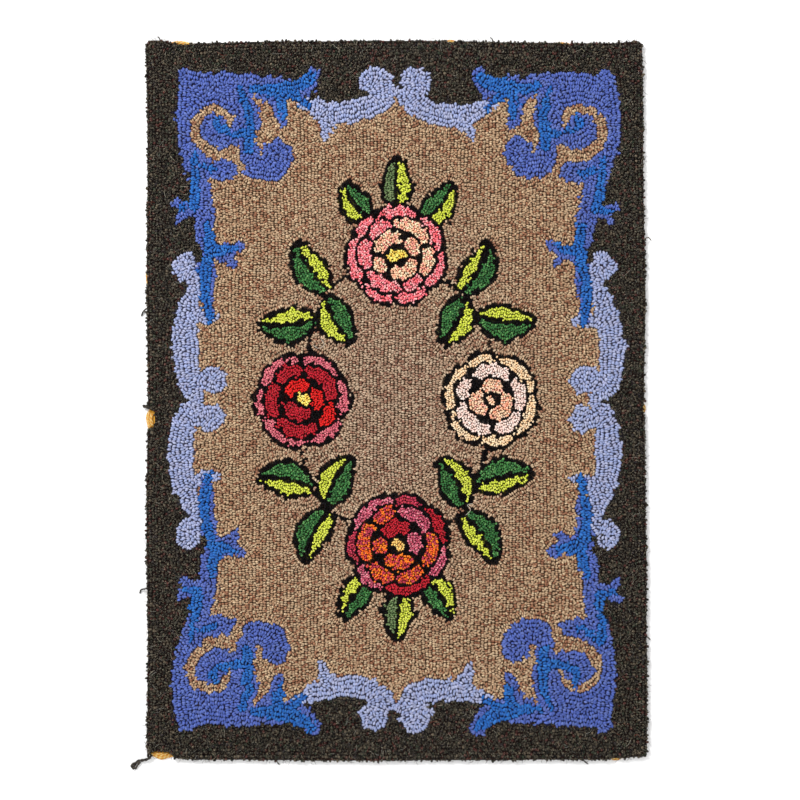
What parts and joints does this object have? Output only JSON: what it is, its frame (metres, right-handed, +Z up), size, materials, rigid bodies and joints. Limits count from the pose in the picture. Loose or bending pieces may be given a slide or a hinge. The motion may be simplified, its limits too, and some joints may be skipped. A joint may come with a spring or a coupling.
{
  "type": "hooked rug",
  "caption": "Small rectangular hooked rug lying flat: wool loops on a burlap foundation with a turned edge, in a floral design with a scroll frame and a dark border.",
  "frame": {"origin": "centre of the rug's outline, on the surface that it lies on", "axes": "+X across the short side, +Y along the long side towards the edge that is uppermost in the design, +Z up out of the pile"},
  "size_m": [0.6392, 0.9184, 0.008],
  "materials": {
    "burlap": "coarse golden plain weave, matt, slightly hairy",
    "field_wool": "taupe and rust tweed wool loops, matt",
    "border_wool": "charcoal heathered wool loops with coloured flecks, matt and hairy",
    "scroll_wool": "periwinkle, azure and light blue wool loops, soft sheen",
    "flower_wool": "red, pink, orange, cream and gold wool loops, soft sheen",
    "leaf_wool": "lime, sage and dark green wool loops, soft sheen",
    "outline_wool": "black wool loops in single rows round petals and leaves, matt"
  },
  "bodies": {
    "root": {"foundation": "burlap", "loop_pile": "field_wool"}
  },
  "joints": []
}
